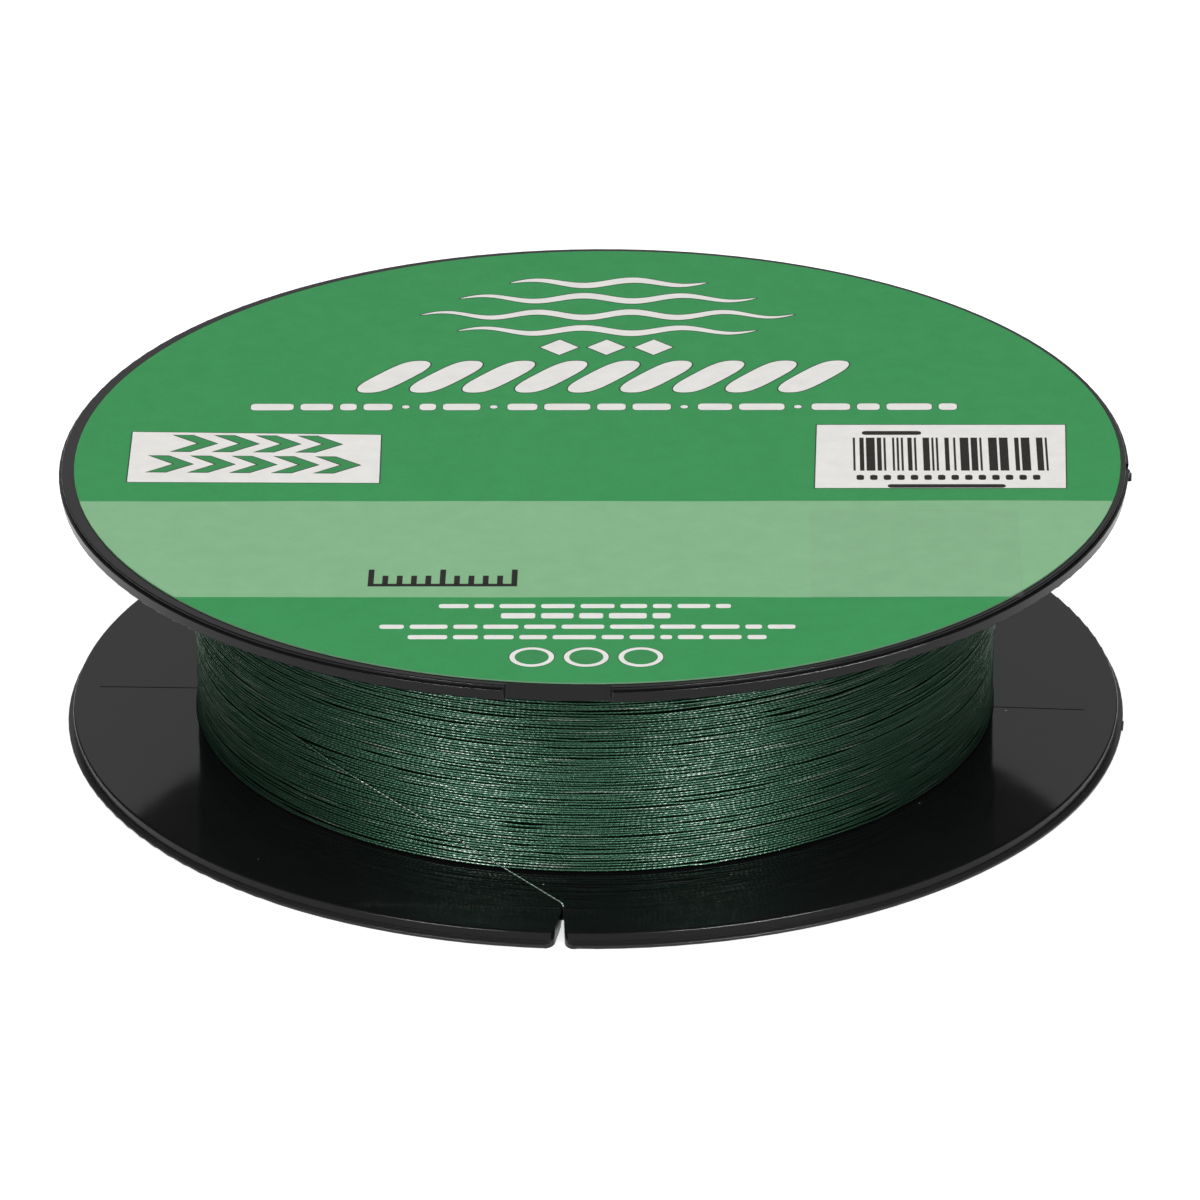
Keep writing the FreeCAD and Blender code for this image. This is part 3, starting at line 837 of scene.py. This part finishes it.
def label_print():
    """A plain ornamental layout: ripples, a rope band, rows of bars, two panels, a scale and three rings."""
    white = (linear(240, 238, 234), linear(235, 233, 229))
    edge = (linear(52, 84, 60), linear(44, 72, 52))
    outlines = Print("print_outlines", ink("ink_outline", *edge), 1)
    panels = Print("print_white", ink("ink_white", *white), 2)
    green = Print("print_green", ink("ink_green", linear(64, 146, 88), linear(57, 138, 81)), 4)
    black = Print("print_black", ink("ink_black", linear(44, 42, 40), linear(34, 33, 32)), 3)

    middle = 1.0
    border = 0.16
    panel_border = 0.14
    fine_border = 0.08

    def white_shape(outline, width):
        panels.shape(outline)
        outlines.shape(grown(outline, width))

    # Ripples at the top
    for length, y, waves in ((22.0, 47.0, 2), (33.0, 42.6, 3), (41.5, 38.0, 4), (33.0, 33.6, 3)):
        white_shape(turned(wave_ribbon(middle - length / 2, y, length, waves, 0.75, 1.5)), border)

    # Three small lozenges
    for n in (-1, 0, 1):
        x = middle + n * 5.2
        white_shape(turned([(x - 2.1, 29.0), (x, 26.9), (x + 2.1, 29.0), (x, 31.1)]), border)

    # Rope band
    strands = 9
    for n in range(strands):
        x = 0.8 + (n - (strands - 1) / 2) * 5.75
        white_shape(turned(rope_strand(x, 21.0, 4.3, 8.6)), border)

    # A thin row of bars and dots
    draw = np.random.default_rng(print_seed)
    x = -37.5
    while x < 38.5:
        width = float(draw.uniform(1.6, 5.4))
        width = min(width, 39.3 - x)
        white_shape(turned(bar(x, 12.0, width, 1.7, 0.5)), fine_border)
        x += width + 0.75
        if draw.random() < 0.25 and x < 36:
            white_shape(turned(disc(x + 0.7, 12.85, 0.42, 20)), fine_border)
            x += 2.2

    # Left panel with rows of arrow heads
    white_shape([(-49.92, -5.86), (-22.96, -6.65), (-22.96, 5.86), (-49.83, 7.19)], panel_border)
    for row, count in enumerate((5, 4)):
        for n in range(count):
            left = -36.4 - count * 2.25 + n * 4.5
            shape = chevron(left, -5.0 + row * 5.4, 4.6, 4.2, 1.9)
            shape = turned(shape, math.radians(-2.0))
            black.shape(grown(shape, 0.13))
            green.shape(shape)

    # Right panel with a row of uneven bars
    white_shape([(23.59, -8.86), (50.33, -9.39), (51.04, 7.03), (24.21, 7.56)], panel_border)
    x = 27.9
    module = 0.235
    while x < 48.6:
        width = module * int(draw.choice([1, 1, 2, 2, 3, 4]))
        black.shape(turned(bar(x, -4.0, width, 8.6)))
        x += width + module * int(draw.choice([1, 1, 2, 3]))
    for n in range(14):
        black.shape(turned(bar(28.2 + n * 1.45, -6.4, 0.8, 1.3, 0.3)))
    black.shape(turned(bar(28.9, 5.35, 6.4, 1.0, 0.4)))
    black.shape(turned(bar(31.5, -8.4, 12.6, 0.9, 0.4)))

    # A plain scale on the light band
    black.shape(turned(bar(-23.1, -33.1, 15.6, 0.6)))
    for n in range(11):
        tall = 3.6 if n % 5 == 0 else 2.1
        black.shape(turned(bar(-23.1 + n * 1.5, -32.6, 0.6, tall)))

    # Rows of thin bars low on the label
    rows = ((-38.4, 15.5, 0.95), (-40.9, 9.0, 1.25), (-43.4, 21.5, 0.95), (-45.9, 18.5, 0.95))
    for y, half, height in rows:
        x = -half
        while x < half - 0.8:
            width = min(float(draw.uniform(1.2, 4.6)), half - x)
            panels.shape(turned(bar(x, y, width, height, 0.3)))
            x += width + 0.6

    # Three rings
    for n in (-1, 0, 1):
        x = n * 5.6
        white_shape(turned(disc(x, -50.2, 2.3)), fine_border)
        green.shape(turned(disc(x, -50.2, 1.75)))

    for part in (outlines, panels, green, black):
        part.finish()


def paint(node, material):
    """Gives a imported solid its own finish."""
    node.data.materials.clear()
    node.data.materials.append(material)


def floor_and_world():
    """White floor that keeps a soft shadow, and a plain grey room for light and reflections."""
    mesh = bpy.data.meshes.new("floor")
    radius = 6.0
    corners = 64
    ring = [(radius * math.cos(2 * math.pi * n / corners), radius * math.sin(2 * math.pi * n / corners), 0)
            for n in range(corners)]
    mesh.from_pydata(ring, [], [tuple(range(corners))])
    floor = bpy.data.objects.new("floor", mesh)
    floor.location.z = -0.03 * mm
    bpy.context.scene.collection.objects.link(floor)
    look = Look("floor", Base_Color=(0.8, 0.8, 0.8, 1), Roughness=0.9, Specular_IOR_Level=0.0)
    path = look.add("LightPath").outputs
    mirrored = look.math("MAXIMUM", path["Is Glossy Ray"], path["Is Transmission Ray"])
    glow = look.math("MULTIPLY", path["Is Camera Ray"], floor_glow)
    glow = look.math("MAXIMUM", glow, look.math("MULTIPLY", mirrored, mirrored_glow))
    look.set(Emission_Color=(1, 1, 1, 1), Emission_Strength=glow)
    mesh.materials.append(look.material)

    world = bpy.data.worlds.new("room")
    world.use_nodes = True
    back = world.node_tree.nodes["Background"]
    back.inputs["Color"].default_value = (1, 1, 1, 1)
    back.inputs["Strength"].default_value = room_level
    bpy.context.scene.world = world


def lamp(name, azimuth, elevation, distance, width, height, power, diffuse=True, glossy=True):
    """Rectangular soft light that looks at the spool. Azimuth 0 is the camera's side."""
    data = bpy.data.lights.new(name, "AREA")
    data.shape = "RECTANGLE"
    data.size = width
    data.size_y = height
    data.energy = power
    light = bpy.data.objects.new(name, data)
    a = math.radians(azimuth)
    e = math.radians(elevation)
    aim = Vector((0, 0, spool_top / 2))
    away = Vector((math.sin(a) * math.cos(e), -math.cos(a) * math.cos(e), math.sin(e)))
    light.location = aim + away * distance
    light.rotation_mode = "QUATERNION"
    light.rotation_quaternion = away.to_track_quat("Z", "Y")
    light.visible_diffuse = diffuse
    light.visible_glossy = glossy
    light.visible_camera = False
    bpy.context.scene.collection.objects.link(light)
    return light


def shine_on(pieces, *lights):
    """Keeps lights off everything but some pieces, as screens round a softbox do."""
    group = bpy.data.collections.new("lit_by_" + lights[0].name)
    for piece in pieces:
        group.objects.link(piece)
    for light in lights:
        light.light_linking.receiver_collection = group


def camera():
    """Camera where the photograph was taken from."""
    data = bpy.data.cameras.new("camera")
    data.lens = focal_length
    data.sensor_width = 36
    data.clip_start = 0.01
    data.clip_end = 50
    a = -(camera_elevation + camera_pitch_down)
    ahead = Vector((math.sin(camera_yaw) * math.cos(a), math.cos(camera_yaw) * math.cos(a), math.sin(a)))
    right = ahead.cross(Vector((0, 0, 1))).normalized()
    up = right.cross(ahead)
    c, s = math.cos(camera_roll), math.sin(camera_roll)
    right, up = right * c + up * s, up * c - right * s
    place = Vector((0, -math.cos(camera_elevation), math.sin(camera_elevation))) * camera_distance
    place.z += label_top
    eye = bpy.data.objects.new("camera", data)
    eye.matrix_world = Matrix((
        (right.x, up.x, -ahead.x, place.x),
        (right.y, up.y, -ahead.y, place.y),
        (right.z, up.z, -ahead.z, place.z),
        (0, 0, 0, 1),
    ))
    bpy.context.scene.collection.objects.link(eye)
    bpy.context.scene.camera = eye


camera()
floor_and_world()

plastic = black_plastic()
paint(nodes["lower_half"], plastic)
paint(nodes["upper_half"], plastic)
paint(nodes["paper_label"], label_paper())
paint(nodes["clear_sticker"], clear_film())
paint(nodes["arbor_tape"], crepe_tape())

braid = braided_line()
core_piece(packed_line_painted_shade())
line = [layer_below_piece(braid), last_layer_piece(braid), line_end_piece(braid)]
label_print()

# Lamps: azimuth and elevation in degrees, distance, width and height in metres, power in watts
lamp("left_box", -32, 23, 1.1, 1.1, 0.8, 6.6, glossy=False)
lamp("right_box", 31, 23, 1.1, 1.1, 0.8, 6.4, glossy=False)
lamp("top_box", 0, 80, 1.2, 1.4, 1.4, 8.26, glossy=False)
lamp("back_wall", 180, 24, 1.3, 1.1, 0.5, 0.98, diffuse=False)
lamp("back_fill_left", -140, 40, 1.3, 0.8, 0.8, 2.0, glossy=False)
lamp("back_fill_right", 140, 40, 1.3, 0.8, 0.8, 2.0, glossy=False)
shine_on(
    line,
    lamp("left_strip", -34, 25, 1.05, 0.45, 0.8, 29.5, diffuse=False),
    lamp("right_strip", 30, 25, 1.05, 0.5, 0.8, 29.5, diffuse=False),
)
shine_on(
    [nodes["lower_half"], nodes["upper_half"]],
    lamp("left_edge", -32, 4, 1.05, 0.4, 0.1, 9.0, diffuse=False),
    lamp("right_edge", 30, 4, 1.05, 0.5, 0.1, 20.0, diffuse=False),
)

bpy.context.scene.view_settings.view_transform = "Standard"
